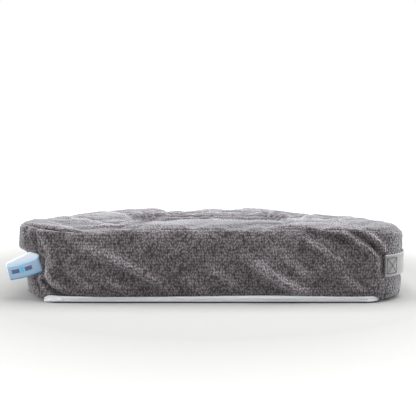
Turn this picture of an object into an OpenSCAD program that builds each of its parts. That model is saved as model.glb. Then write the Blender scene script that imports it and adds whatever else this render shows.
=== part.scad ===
// Compact pressure relief mattress: castellated foam core in a liner, loose plush cover with
// a sunken centre, a zip along the bottom front edge, a side label and a webbing carry strap.
// Millimetres, +Z up. The origin is the middle of the resting face, the front faces -Y.

/* [Overall] */
// Width of the covered mattress, side to side
body_w = 680; // [560:10:900]
// Depth of the covered mattress, front to back
body_d = 480; // [400:10:700]
// Height of the covered mattress
body_h = 124; // [100:2:180]
// Plan radius of the four corners
corner_r = 80; // [60:5:110]

/* [Cover] */
// Thickness of the plush fabric with its pile
cover_t = 3.2; // [2:0.1:5]
// Slack between the plush side bands and the liner
side_ease = 4.2; // [4:0.1:8]
// Slack between the plush top panel and the liner
top_ease = 1.4; // [1.2:0.1:4]
// Thickness of the base cloth
base_t = 1.6; // [1:0.1:3]
// Corner angle at which the front and rear bands are seamed together
seam_angle = 26; // [24:1:32]
// Height of the front band's hem above the resting face, over the zip
hem_z = 9.8; // [9.8:0.1:14]

/* [Sunken centre] */
// Width of the sunken centre
well_w = 300; // [200:10:400]
// Depth of the sunken centre, front to back
well_d = 170; // [120:10:240]
// Plan radius of the sunken centre's corners
well_r = 30; // [15:5:50]
// How far the centre is sunk below the top
well_sink = 18; // [10:1:30]
// Width of the gathering elastic round the sunken centre
elastic_w = 8; // [5:1:12]
// Thickness of the gathering elastic
elastic_t = 1; // [0.6:0.1:1.2]

/* [Core] */
// Thickness of the liner cloth
liner_t = 0.8; // [0.5:0.1:1.5]
// Height of the liner's lower half
liner_seam_z = 30; // [20:1:45]
// Thickness of the firm base foam
base_foam_h = 45; // [30:1:50]
// Castellated blocks across the width
blocks_x = 6; // [3:1:10]
// Castellated blocks across the depth
blocks_y = 4; // [2:1:6]
// Width of the cuts between the blocks
slit_w = 4; // [2:0.5:6]
// Depth of the cuts between the blocks
slit_deep = 25; // [10:1:30]

/* [Zip] */
// Height of the zip's centre line above the resting face
zip_z = 6; // [6:0.1:8]
// Thickness of the woven zip tape
tape_t = 0.5; // [0.3:0.1:0.6]
// Tape that runs on past the straight stretch at each end
tape_tail = 25; // [15:1:25]
// Width of the lower tape's flange on the base cloth
flange_w = 12; // [8:1:20]
// Height of the upper tape's sewn edge behind the band
sewn_edge_h = 11; // [6:1:20]
// Width of each row of coil teeth
coil_w = 1.7; // [1.4:0.1:1.8]
// Thickness of the coil
coil_t = 2; // [1.6:0.1:2]
// Gap between the two rows of coil teeth
coil_gap = 0.8; // [0.8:0.1:1]
// Length of the slider
slider_l = 10; // [8:0.5:14]
// Thickness of the slider's plates
plate_t = 1; // [0.8:0.1:1]
// Thickness of the slider's side flanges
cheek_t = 0.9; // [0.7:0.1:1]
// Width of the slider's wedge between the coil rows
wedge_w = 0.4; // [0.3:0.05:0.5]
// Clearance between the slider and what it slides on
slider_play = 0.3; // [0.2:0.05:0.3]
// Length of the pull tab from its pivot
pull_l = 24; // [15:1:24]
// Width of the pull tab
pull_w = 6; // [4:0.5:6]
// Thickness of the pull tab
pull_t = 1; // [0.8:0.1:1.1]
// Radius of the pull tab's pivot bar
pivot_r = 0.45; // [0.35:0.05:0.5]

/* [Label] */
// Width of the label ribbon
label_w = 25; // [15:1:35]
// Length of the folded label outside the seam
label_l = 46; // [25:1:55]
// Thickness of the label ribbon
label_t = 0.6; // [0.4:0.1:1]
// Gap between the two plies of the label
label_gap = 2.4; // [1:0.1:6]
// Height of the label's root above the resting face
label_z = 63; // [45:1:75]
// Droop of the label below level
label_droop = 19; // [0:1:30]
// How far the label turns back from straight sideways
label_turn = 10; // [0:1:20]

/* [Carry strap] */
// Width of the strap webbing
web_w = 38; // [25:1:50]
// Thickness of the strap webbing
web_t = 1.6; // [1.2:0.1:2.4]
// Height of the strap's centre line above the resting face
strap_z = 62; // [45:1:70]
// Corner angle at which the sewn end of the strap starts
sewn_from = 25; // [20:1:30]
// Corner angle at which the strap leaves the band
sewn_to = 50; // [45:1:60]
// Clear gap between the side band and the middle of the strap
hand_gap = 15; // [10:1:25]
// Half the length of the stiff middle of the strap
grip_half = 110; // [60:5:120]
// Thickness of the stitching thread
thread_t = 0.6; // [0.4:0.1:0.8]
// Width of a stitch line
thread_w = 0.9; // [0.6:0.1:1.2]
// Distance of the box stitching from the strap's edges
stitch_in = 4; // [3:0.5:6]
// Thickness of the backing patch behind each sewn end
patch_t = 1; // [0.6:0.1:1.5]
// How far the backing patch reaches past the strap
patch_over = 5; // [3:0.5:8]

/* [Hidden] */
$fn = 96;

plush = [0.36, 0.34, 0.35];
white_cloth = [0.85, 0.86, 0.88];
foam_firm_colour = [0.62, 0.72, 0.8];
foam_soft_colour = [0.93, 0.88, 0.72];
webbing_colour = [0.44, 0.43, 0.44];

layer_gap = 0.3;
skin_gap = 0.1;
straight_x = body_w / 2 - corner_r;
straight_y = body_d / 2 - corner_r;
big = 2 * (body_w + body_d);

// Insets from the outside of the plush, going inwards
liner_inset = cover_t + side_ease;
foam_inset = liner_inset + liner_t + layer_gap;
// Levels, going up and then down from the top
liner_z0 = base_t + tape_t + layer_gap;
foam_z0 = liner_z0 + liner_t + layer_gap;
base_foam_z1 = foam_z0 + base_foam_h;
cover_top_z0 = body_h - cover_t;
liner_top_z1 = cover_top_z0 - top_ease;
foam_z1 = liner_top_z1 - liner_t - layer_gap;
well_floor_z1 = body_h - well_sink;
well_liner_z1 = well_floor_z1 - cover_t - layer_gap;
relief_z1 = well_liner_z1 - liner_t - layer_gap;
// Outsets round the sunken centre
well_liner_out = cover_t + layer_gap;
relief_out = well_liner_out + liner_t;
surround_out = relief_out + layer_gap;

// Zip, seen in section from the outside inwards: slider plate, coil, tape, slider back plate
tape_back = 2;
tape_inset = cover_t + tape_back;
coil_inset = tape_inset - coil_t;
tape_y = -body_d / 2 + tape_inset;
coil_y = -body_d / 2 + coil_inset;
chain_over = 3;
chain_half = straight_x + chain_over;
tape_half = straight_x + tape_tail;
coil_in = coil_gap / 2;
coil_out = coil_in + coil_w;
cheek_in = coil_out + slider_play;
slider_half_h = cheek_in + cheek_t;
front_plate_y = coil_y - slider_play - plate_t;
back_plate_y = tape_y + tape_t + slider_play;
slider_park = 3;
slider_x = -straight_x + slider_park;
stop_w = 2;
bridge_half_l = 3.4;
bridge_half_w = 0.9;
bridge_top = 0.9;
bridge_room = 2 * pivot_r + 2 * slider_play;
pivot_y = front_plate_y - slider_play - pivot_r;
arm_in = bridge_half_w + slider_play;
arm_out = arm_in + 1;
arm_l = 5.5;
arm_end_r = 0.55;
jog_z = hem_z + 1;

// Strap, in plan: it leaves the corner along its tangent and bows out past the side band
web_mid = skin_gap + web_t / 2;
lead_x = straight_x + (corner_r + web_mid) * sin(sewn_to);
lead_y = straight_y + (corner_r + web_mid) * cos(sewn_to);
bow = body_w / 2 + hand_gap + web_t / 2 - lead_x;
bow_power = 1.02 * lead_y * cos(sewn_to) / (sin(sewn_to) * bow);
joint_gap = 0.3;
function bow_x(y) = lead_x + bow * (1 - pow(abs(y) / lead_y, bow_power));
function bow_slope(y) = -bow * bow_power * sign(y) * pow(abs(y) / lead_y, bow_power - 1) / lead_y;
function bow_side(y, out) = let (s = bow_slope(y), n = sqrt(1 + s * s))
    [bow_x(y) + out / n, y - out * s / n];

// Plan outline of the mattress, drawn in by an inset
module plan(inset = 0) {
    r = corner_r - inset;
    square([2 * straight_x + 2 * r, 2 * straight_y], center = true);
    square([2 * straight_x, 2 * straight_y + 2 * r], center = true);
    for (x = [-straight_x, straight_x], y = [-straight_y, straight_y])
        translate([x, y])
            circle(r);
}

// Wall that follows the plan outline, between two insets
module plan_ring(inset_out, inset_in) {
    difference() {
        plan(inset_out);
        plan(inset_in);
    }
}

// Outline of the sunken centre, grown by an outset
module well_plan(outset = 0) {
    r = well_r + outset;
    x = well_w / 2 - well_r;
    y = well_d / 2 - well_r;
    square([2 * x + 2 * r, 2 * y], center = true);
    square([2 * x, 2 * y + 2 * r], center = true);
    for (i = [-x, x], j = [-y, y])
        translate([i, j])
            circle(r);
}

// Solid between two levels
module level(z0, z1) {
    translate([0, 0, z0])
        linear_extrude(z1 - z0)
            children();
}

// Plan region in front of the two corner seams
module front_region() {
    reach = big * [sin(seam_angle), cos(seam_angle)];
    polygon([
        [-straight_x, -straight_y],
        [straight_x, -straight_y],
        [straight_x + reach[0], -straight_y - reach[1]],
        [-straight_x - reach[0], -straight_y - reach[1]]
    ]);
}

// Stretch of the front, up to a distance either side of the middle
module front_stretch(half) {
    translate([-half, -body_d])
        square([2 * half, body_d]);
}

// Wall of the zip's path between two insets and two levels, up to a half length
module zip_wall(inset_out, inset_in, z0, z1, half) {
    level(z0, z1)
        intersection() {
            plan_ring(inset_out, inset_in);
            front_stretch(half);
        }
}

// Short piece of the zip's path from one X to another
module zip_bit(inset_out, inset_in, z0, z1, x0, x1) {
    level(z0, z1)
        intersection() {
            plan_ring(inset_out, inset_in);
            translate([x0, -body_d])
                square([x1 - x0, body_d]);
        }
}

// Sector of the front right corner's skin, from one corner angle to another
module corner_skin(r0, r1, z0, z1, a0, a1) {
    translate([straight_x, -straight_y, z0])
        rotate([0, 0, a0 - 90])
            rotate_extrude(angle = a1 - a0)
                translate([r0, 0])
                    square([r1 - r0, z1 - z0]);
}

// Stretch of strap between two places along the side
module strap_run(y0, y1, steps) {
    ys = [for (i = [0 : steps]) y0 + (y1 - y0) * i / steps];
    outer = [for (y = ys) bow_side(y, web_t / 2)];
    inner = [for (i = [0 : steps]) bow_side(ys[steps - i], -web_t / 2)];
    level(strap_z - web_w / 2, strap_z + web_w / 2)
        polygon(concat(outer, inner));
}

module base_foam() {
    color(foam_firm_colour)
        level(foam_z0, base_foam_z1)
            plan(foam_inset);
}

module surround_foam() {
    color(foam_firm_colour)
        level(base_foam_z1, foam_z1)
            difference() {
                plan(foam_inset);
                well_plan(surround_out);
            }
}

// Softer insert under the sunken centre, cut into blocks from above
module relief_foam() {
    pitch_x = well_w / blocks_x;
    pitch_y = well_d / blocks_y;
    color(foam_soft_colour)
        difference() {
            level(base_foam_z1, relief_z1)
                well_plan(relief_out);
            for (i = [1 : blocks_x - 1])
                translate([i * pitch_x - well_w / 2 - slit_w / 2, -well_d, relief_z1 - slit_deep])
                    cube([slit_w, 2 * well_d, 2 * slit_deep]);
            for (j = [1 : blocks_y - 1])
                translate([-well_w, j * pitch_y - well_d / 2 - slit_w / 2, relief_z1 - slit_deep])
                    cube([2 * well_w, slit_w, 2 * slit_deep]);
        }
}

// Upper half of the liner, which follows the sunken centre down
module liner_upper() {
    color(white_cloth) {
        level(liner_seam_z, liner_top_z1 - liner_t)
            plan_ring(liner_inset, liner_inset + liner_t);
        level(liner_top_z1 - liner_t, liner_top_z1)
            difference() {
                plan(liner_inset);
                well_plan(well_liner_out);
            }
        level(well_liner_z1 - liner_t, liner_top_z1 - liner_t)
            difference() {
                well_plan(relief_out);
                well_plan(well_liner_out);
            }
        level(well_liner_z1 - liner_t, well_liner_z1)
            well_plan(well_liner_out);
    }
}

module liner_lower() {
    color(white_cloth) {
        level(liner_z0, liner_z0 + liner_t)
            plan(liner_inset);
        level(liner_z0 + liner_t, liner_seam_z)
            plan_ring(liner_inset, liner_inset + liner_t);
    }
}

module cover_top() {
    color(plush)
        level(cover_top_z0, body_h)
            difference() {
                plan();
                well_plan(cover_t);
            }
}

// Plush dish sewn into the top panel
module cover_well() {
    color(plush) {
        level(well_floor_z1 - cover_t, well_floor_z1)
            well_plan(cover_t);
        level(well_floor_z1, body_h)
            difference() {
                well_plan(cover_t);
                well_plan();
            }
    }
}

// Front band between the two corner seams, hemmed above the zip
module cover_front_band() {
    color(plush) {
        level(hem_z, cover_top_z0)
            intersection() {
                plan_ring(0, cover_t);
                front_region();
            }
        level(base_t, hem_z)
            difference() {
                intersection() {
                    plan_ring(0, cover_t);
                    front_region();
                }
                front_stretch(tape_half);
            }
    }
}

module cover_rear_band() {
    color(plush)
        level(base_t, cover_top_z0)
            difference() {
                plan_ring(0, cover_t);
                front_region();
            }
}

module cover_base() {
    color("dimgray")
        level(0, base_t)
            plan();
}

module well_elastic() {
    color(white_cloth)
        level(cover_top_z0 - elastic_t, cover_top_z0)
            difference() {
                well_plan(well_liner_out + elastic_w);
                well_plan(well_liner_out);
            }
}

// Upper tape: its toothed edge, a fold outwards, and the edge sewn behind the band
module zip_tape_upper() {
    color(white_cloth) {
        zip_wall(tape_inset, tape_inset + tape_t, zip_z + coil_in, jog_z, tape_half);
        zip_wall(cover_t, tape_inset + tape_t, jog_z, jog_z + tape_t, tape_half);
        zip_wall(cover_t, cover_t + tape_t, jog_z + tape_t, jog_z + sewn_edge_h, tape_half);
    }
}

// Lower tape: its toothed edge, and a flange sewn to the base cloth
module zip_tape_lower() {
    color(white_cloth) {
        zip_wall(tape_inset, tape_inset + flange_w, base_t, base_t + tape_t, tape_half);
        zip_wall(tape_inset, tape_inset + tape_t, base_t + tape_t, zip_z - coil_in, tape_half);
    }
}

module zip_coil_upper() {
    color("white")
        zip_wall(coil_inset, tape_inset, zip_z + coil_in, zip_z + coil_out, chain_half);
}

module zip_coil_lower() {
    color("white")
        zip_wall(coil_inset, tape_inset, zip_z - coil_out, zip_z - coil_in, chain_half);
}

// One stop on each tape where the closed slider parks
module zip_top_stops() {
    x1 = -chain_half - layer_gap;
    color("white") {
        zip_bit(coil_inset, tape_inset, zip_z + coil_in, zip_z + coil_out, x1 - stop_w, x1);
        zip_bit(coil_inset, tape_inset, zip_z - coil_out, zip_z - coil_in, x1 - stop_w, x1);
    }
}

// One stop across both tapes at the other end
module zip_bottom_stop() {
    x0 = chain_half + layer_gap;
    color("white")
        zip_bit(coil_inset, tape_inset, zip_z - coil_out, zip_z + coil_out, x0, x0 + stop_w);
}

// Slider: front plate with two cheeks, a wedge between the coils, a back plate and a bridge
module zip_slider() {
    h = 2 * slider_half_h;
    cheek_y1 = tape_y - slider_play;
    wedge_l = 3;
    color("white")
        translate([slider_x, 0, zip_z]) {
            translate([-slider_l / 2, front_plate_y, -slider_half_h])
                cube([slider_l, plate_t, h]);
            for (s = [-1, 1])
                translate([-slider_l / 2, front_plate_y, s * (cheek_in + cheek_t / 2) - cheek_t / 2])
                    cube([slider_l, cheek_y1 - front_plate_y, cheek_t]);
            translate([-slider_l / 2, front_plate_y, -wedge_w / 2])
                cube([wedge_l, back_plate_y + plate_t - front_plate_y, wedge_w]);
            translate([-slider_l / 2, back_plate_y, -slider_half_h])
                cube([slider_l, plate_t, h]);
            difference() {
                translate([-bridge_half_l, front_plate_y - bridge_room - bridge_top, -bridge_half_w])
                    cube([2 * bridge_half_l, bridge_room + bridge_top, 2 * bridge_half_w]);
                translate([-bridge_half_l + bridge_top, front_plate_y - bridge_room, -2 * bridge_half_w])
                    cube([2 * (bridge_half_l - bridge_top), bridge_room, 4 * bridge_half_w]);
            }
        }
}

// Pull tab: a pivot bar through the bridge, two arms and a flat tab with a slot
module zip_pull() {
    slot_l = 6;
    slot_w = 2;
    slot_rim = 3;
    color("white")
        translate([slider_x, pivot_y, zip_z]) {
            translate([0, 0, -arm_out])
                cylinder(r = pivot_r, h = 2 * arm_out, $fn = 32);
            for (s = [-1, 1])
                translate([0, 0, s * (arm_in + arm_out) / 2 - (arm_out - arm_in) / 2]) {
                    cylinder(r = arm_end_r, h = arm_out - arm_in, $fn = 32);
                    translate([-arm_l, -pull_t / 2, 0])
                        cube([arm_l, pull_t, arm_out - arm_in]);
                }
            difference() {
                translate([-pull_l, -pull_t / 2, -pull_w / 2])
                    cube([pull_l - arm_l, pull_t, pull_w]);
                translate([-pull_l + slot_rim, -pull_t, -slot_w / 2])
                    cube([slot_l, 2 * pull_t, slot_w]);
            }
        }
}

// Ribbon folded into a loop, with its two ends caught in the left front seam
module side_label() {
    root_x = straight_x + corner_r * sin(seam_angle);
    root_y = straight_y + corner_r * cos(seam_angle);
    fold_r = label_gap / 2 + label_t;
    tuck = 2;
    color(white_cloth)
        translate([-root_x, -root_y, label_z])
            rotate([0, 0, -label_turn])
                rotate([0, -label_droop, 0])
                    translate([0, 0, -label_w / 2])
                        linear_extrude(label_w)
                            difference() {
                                union() {
                                    translate([-label_l + fold_r, -fold_r])
                                        square([label_l - fold_r + tuck, 2 * fold_r]);
                                    translate([-label_l + fold_r, 0])
                                        circle(fold_r, $fn = 48);
                                }
                                translate([-label_l + fold_r, -label_gap / 2])
                                    square([label_l + tuck, label_gap]);
                                translate([-label_l + fold_r, 0])
                                    circle(label_gap / 2, $fn = 48);
                            }
}

module strap_front_end() {
    r = corner_r + skin_gap;
    color(webbing_colour)
        corner_skin(r, r + web_t, strap_z - web_w / 2, strap_z + web_w / 2, sewn_from, sewn_to);
}

module strap_rear_end() {
    mirror([0, 1, 0])
        strap_front_end();
}

// The strap between its sewn end and its middle, which twists as the middle swings
module strap_front_lead() {
    color(webbing_colour)
        strap_run(-lead_y + joint_gap, -grip_half - joint_gap, 24);
}

module strap_rear_lead() {
    color(webbing_colour)
        strap_run(grip_half + joint_gap, lead_y - joint_gap, 24);
}

module strap_grip() {
    color(webbing_colour)
        strap_run(-grip_half, grip_half, 24);
}

// Box of stitching with a cross in it, following the strap round the corner
module strap_front_stitching() {
    r = corner_r + skin_gap + web_t;
    in_angle = stitch_in / r * 180 / PI;
    a0 = sewn_from + in_angle;
    a1 = sewn_to - in_angle;
    half_w = r * sin((a1 - a0) / 2);
    half_h = web_w / 2 - stitch_in;
    slope = atan2(half_h, half_w);
    reach = 2 * r;
    stagger = 1;
    hair = 0.02;
    color("gray")
        intersection() {
            corner_skin(r, r + thread_t, strap_z - half_h, strap_z + half_h, a0, a1);
            translate([straight_x, -straight_y, strap_z])
                rotate([0, 0, (a0 + a1) / 2])
                    union() {
                        for (s = [-1, 1]) {
                            rotate([0, s * slope, 0])
                                cube([reach, reach + stagger, thread_w], center = true);
                            translate([0, 0, s * (half_h - thread_w / 2)])
                                cube([reach, reach + 2 * stagger, thread_w + hair], center = true);
                            translate([s * (half_w - thread_w / 2), 0, 0])
                                cube([thread_w, reach + 3 * stagger, reach], center = true);
                        }
                    }
        }
}

module strap_rear_stitching() {
    mirror([0, 1, 0])
        strap_front_stitching();
}

// Backing patch inside the band behind a sewn end
module strap_front_patch() {
    r = corner_r - cover_t - skin_gap;
    over = patch_over / r * 180 / PI;
    z0 = strap_z - web_w / 2 - patch_over;
    z1 = strap_z + web_w / 2 + patch_over;
    color(white_cloth)
        corner_skin(r - patch_t, r, z0, z1, sewn_from - over, sewn_to + over);
}

module strap_rear_patch() {
    mirror([0, 1, 0])
        strap_front_patch();
}

base_foam();
surround_foam();
relief_foam();
liner_upper();
liner_lower();
cover_top();
cover_well();
cover_front_band();
cover_rear_band();
cover_base();
well_elastic();
zip_tape_upper();
zip_tape_lower();
zip_coil_upper();
zip_coil_lower();
zip_top_stops();
zip_bottom_stop();
zip_slider();
zip_pull();
side_label();
strap_front_end();
strap_front_lead();
strap_grip();
strap_rear_lead();
strap_rear_end();
strap_front_stitching();
strap_rear_stitching();
strap_front_patch();
strap_rear_patch();
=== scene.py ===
import math
import bmesh
import bpy
from mathutils import Matrix, Vector, noise
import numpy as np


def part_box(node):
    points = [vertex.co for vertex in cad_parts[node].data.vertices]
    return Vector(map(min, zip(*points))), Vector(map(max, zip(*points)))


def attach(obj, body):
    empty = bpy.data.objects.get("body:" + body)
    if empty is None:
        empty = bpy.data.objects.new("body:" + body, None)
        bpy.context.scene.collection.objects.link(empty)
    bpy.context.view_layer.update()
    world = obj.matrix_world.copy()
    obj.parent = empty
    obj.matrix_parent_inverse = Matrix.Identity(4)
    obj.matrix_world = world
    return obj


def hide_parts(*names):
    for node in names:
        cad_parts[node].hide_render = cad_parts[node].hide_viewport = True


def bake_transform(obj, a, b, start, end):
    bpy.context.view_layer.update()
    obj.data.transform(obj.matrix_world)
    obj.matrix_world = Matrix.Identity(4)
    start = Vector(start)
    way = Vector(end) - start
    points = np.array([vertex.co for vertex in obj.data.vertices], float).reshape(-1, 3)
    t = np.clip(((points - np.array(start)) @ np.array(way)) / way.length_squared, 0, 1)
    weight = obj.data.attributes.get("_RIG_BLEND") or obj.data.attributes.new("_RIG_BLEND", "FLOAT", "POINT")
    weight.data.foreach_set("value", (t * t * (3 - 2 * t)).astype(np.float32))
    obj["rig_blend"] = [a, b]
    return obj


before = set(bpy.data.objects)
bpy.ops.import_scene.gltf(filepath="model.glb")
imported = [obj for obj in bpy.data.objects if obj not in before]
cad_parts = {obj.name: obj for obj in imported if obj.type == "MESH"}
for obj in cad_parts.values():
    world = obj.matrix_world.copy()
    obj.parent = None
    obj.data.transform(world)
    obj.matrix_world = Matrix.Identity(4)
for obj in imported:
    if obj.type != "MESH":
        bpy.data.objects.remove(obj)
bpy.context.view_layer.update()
scene = bpy.context.scene

# ---- sizes, in metres -------------------------------------------------------------------
MM = 0.001
top_low, top_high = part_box("cover_top")
well_low, well_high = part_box("cover_well")
HALF_W = top_high.x
HALF_D = top_high.y
TOP = top_high.z
PLUSH = top_high.z - top_low.z
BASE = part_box("cover_base")[1].z
CORNER = 80 * MM
STRAIGHT_X = HALF_W - CORNER
STRAIGHT_Y = HALF_D - CORNER
CORNER_RUN = CORNER * math.pi / 2
WELL_R = 30 * MM
WELL_X = well_high.x - PLUSH - WELL_R
WELL_Y = well_high.y - PLUSH - WELL_R
WELL_FLOOR = well_low.z + PLUSH
WELL_SOFT = 18 * MM
EDGE_R = 13 * MM
HEM = 9.8 * MM
HEM_HALF = 272 * MM
SEAM_ANGLE = math.radians(26)
SEAM_S = STRAIGHT_X + CORNER * SEAM_ANGLE
STRAP_Z = (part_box("strap_grip")[0].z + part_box("strap_grip")[1].z) / 2
WEB_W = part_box("strap_grip")[1].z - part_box("strap_grip")[0].z
WEB_T = 1.6 * MM
LABEL_Z = 63 * MM
WELL_RING = 20
SEAM_RING = 54
COIL_INSET = 3.2 * MM
CORNER_COIL_T = 2.0 * MM
LABEL_FOLD = 60 * MM
SEWN_FROM, SEWN_TO = math.radians(25), math.radians(50)
STRAP_R = CORNER + 0.1 * MM + WEB_T / 2

TOP_PANEL, WELL_DISH, FRONT_BAND, REAR_BAND, UNDERSIDE = range(5)


def smooth(x, low, high):
    """0 below low, 1 above high, smooth between."""
    t = min(1.0, max(0.0, (x - low) / (high - low)))
    return t * t * (3 - 2 * t)


def bump(x, centre, width):
    return math.exp(-(((x - centre) / width) ** 2))


# ---- camera, light and floor ------------------------------------------------------------
def look(obj, target):
    obj.rotation_mode = "QUATERNION"
    obj.rotation_quaternion = (Vector(target) - obj.location).to_track_quat("-Z", "Y")


def make_camera():
    data = bpy.data.cameras.new("camera")
    data.sensor_width = 36
    data.lens = 51.9
    camera = bpy.data.objects.new("camera", data)
    scene.collection.objects.link(camera)
    camera.location = (-0.0055, -HALF_D - 1.0, 0.2295)
    camera.rotation_euler = (math.radians(90 - 3.9), 0, 0)
    scene.camera = camera


def make_light(name, place, target, size, power):
    data = bpy.data.lights.new(name, "AREA")
    data.shape = "RECTANGLE"
    data.size, data.size_y = size
    data.energy = power
    lamp = bpy.data.objects.new(name, data)
    scene.collection.objects.link(lamp)
    lamp.location = place
    look(lamp, target)


def make_world():
    world = bpy.data.worlds.new("studio")
    world.use_nodes = True
    tree = world.node_tree
    back = tree.nodes["Background"]
    seen = tree.nodes.new("ShaderNodeBackground")
    path = tree.nodes.new("ShaderNodeLightPath")
    mix = tree.nodes.new("ShaderNodeMixShader")
    back.inputs["Color"].default_value = (0.96, 0.98, 1, 1)
    back.inputs["Strength"].default_value = 0.3
    seen.inputs["Color"].default_value = (1, 1, 1, 1)
    tree.links.new(path.outputs["Is Camera Ray"], mix.inputs[0])
    tree.links.new(back.outputs[0], mix.inputs[1])
    tree.links.new(seen.outputs[0], mix.inputs[2])
    tree.links.new(mix.outputs[0], tree.nodes["World Output"].inputs["Surface"])
    scene.world = world
    scene.view_settings.view_transform = "Standard"


def make_floor():
    bm = bmesh.new()
    bmesh.ops.create_grid(bm, x_segments=1, y_segments=1, size=14)
    floor = new_object("floor", bm)
    mat, tree, shader = begin("floor_with_painted_glow", 0.9)
    shader.inputs["Base Color"].default_value = (0.26, 0.26, 0.256, 1)
    away = add(tree, "VectorMath", {"operation": "LENGTH"})
    tree.links.new(placed(tree, (1, 1, 1)), away.inputs[0])
    # Painted light: the floor glows more the further it lies from the origin, up to full strength past 1.3
    # m, which whitens the far floor.
    far = add(tree, "MapRange", Value=away.outputs["Value"], From_Min=0.45, From_Max=1.3)
    shader.inputs["Emission Color"].default_value = (1, 1, 1, 1)
    tree.links.new(far.outputs[0], shader.inputs["Emission Strength"])
    floor.data.materials.append(mat)


# ---- material helpers -------------------------------------------------------------------
def feed(tree, socket, value):
    """Links an input to another node's output, or sets it to a plain value."""
    if isinstance(value, bpy.types.NodeSocket):
        tree.links.new(value, socket)
    else:
        socket.default_value = value


def add(tree, kind, props=None, **inputs):
    """A shader node with its settings, and with its inputs linked or set."""
    made = tree.nodes.new("ShaderNode" + kind)
    for key, value in (props or {}).items():
        setattr(made, key, value)
    for key, value in inputs.items():
        feed(tree, made.inputs[key.replace("_", " ")], value)
    return made


def maths(tree, operation, *values):
    made = add(tree, "Math", {"operation": operation})
    for socket, value in zip(made.inputs, values):
        feed(tree, socket, value)
    return made.outputs[0]


def mixed(tree, share, first, second, blend="MIX"):
    """Two colours mixed by a share."""
    made = add(tree, "Mix", {"data_type": "RGBA", "blend_type": blend})
    for place, value in ((0, share), (6, first), (7, second)):
        feed(tree, made.inputs[place], value)
    return made.outputs[2]


def begin(name, roughness, **sockets):
    mat = bpy.data.materials.new(name)
    mat.use_nodes = True
    tree = mat.node_tree
    shader = tree.nodes["Principled BSDF"]
    shader.inputs["Roughness"].default_value = roughness
    for key, value in sockets.items():
        shader.inputs[key.replace("_", " ")].default_value = value
    return mat, tree, shader


def placed(tree, scale):
    """Object coordinates stretched by a scale, in turns per metre."""
    coords = tree.nodes.new("ShaderNodeTexCoord")
    return add(tree, "Mapping", Vector=coords.outputs["Object"], Scale=scale).outputs[0]


def sum_of(tree, a, share_a, b, share_b):
    return maths(tree, "MULTIPLY_ADD", b, share_b, maths(tree, "MULTIPLY", a, share_a))


def ramp(tree, value, *stops):
    """A colour ramp through (place, colour) stops."""
    made = add(tree, "ValToRGB", Fac=value)
    band = made.color_ramp
    while len(band.elements) < len(stops):
        band.elements.new(0.5)
    for element, (place, colour) in zip(band.elements, stops):
        element.position = place
        element.color = (*colour, 1)
    return made.outputs["Color"]


def raise_surface(tree, shader, height, distance, strength=1.0):
    made = add(tree, "Bump", Height=height, Distance=distance, Strength=strength)
    tree.links.new(made.outputs["Normal"], shader.inputs["Normal"])


# ---- materials --------------------------------------------------------------------------
def plush_finish():
    """Looped grey fleece: small rounded tufts with painted shade between them and paler tips; the fold
    heights in the relief attribute paint highlight on ridges and shade in valleys, in colour and sheen.
    """
    mat, tree, shader = begin("plush_fleece", 0.95, Sheen_Weight=0.85, Sheen_Roughness=0.36,
                              Specular_IOR_Level=0.15)
    shader.inputs["Sheen Tint"].default_value = (0.80, 0.84, 0.88, 1)
    where = placed(tree, (1, 1, 0.56))
    tufts = add(tree, "TexVoronoi", Vector=where, Scale=370.0, Randomness=0.65)
    curl = add(tree, "TexNoise", Vector=where, Scale=520.0, Detail=3.0, Roughness=0.6, Distortion=0.6)
    worn = add(tree, "TexNoise", Vector=placed(tree, (1, 1, 1)), Scale=9.0, Detail=3.0)
    depth = sum_of(tree, tufts.outputs["Distance"], -0.9, curl.outputs["Fac"], 0.5)
    level = add(tree, "MapRange", Value=depth, From_Min=-0.45, From_Max=0.25)
    # Painted shade: the colour darkens down into the hollows between tufts and pales at the tufts' tips.
    colour = ramp(tree, level.outputs[0], (0.1, (0.040, 0.034, 0.036)), (0.48, (0.112, 0.100, 0.105)),
                  (0.9, (0.225, 0.214, 0.220)))
    tone = ramp(tree, worn.outputs["Fac"], (0.35, (0.94, 0.92, 0.93)), (0.65, (1, 1, 1)))
    # Painted shade and highlight: the fold heights darken the valleys and lighten the ridges of the side
    # folds and top creases.
    relief = add(tree, "Attribute", {"attribute_name": "relief"}).outputs["Fac"]
    height = add(tree, "MapRange", Value=relief, From_Min=-5.5, From_Max=7.0)
    painted_fold_shade = ramp(tree, height.outputs[0], (0.0, (0.42, 0.42, 0.42)), (0.43, (0.80, 0.80, 0.80)),
                   (1.0, (1.55, 1.53, 1.56)))
    tinted = mixed(tree, 1.0, colour, tone, "MULTIPLY")
    tree.links.new(mixed(tree, 1.0, tinted, painted_fold_shade, "MULTIPLY"), shader.inputs["Base Color"])
    # Painted sheen: more sheen on fold ridges, less in the valleys.
    painted_fold_sheen = add(tree, "MapRange", Value=relief, From_Min=-5.0, From_Max=5.0, To_Min=0.3, To_Max=0.84)
    tree.links.new(painted_fold_sheen.outputs[0], shader.inputs["Sheen Weight"])
    raise_surface(tree, shader, depth, 0.0018)
    return mat


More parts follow.
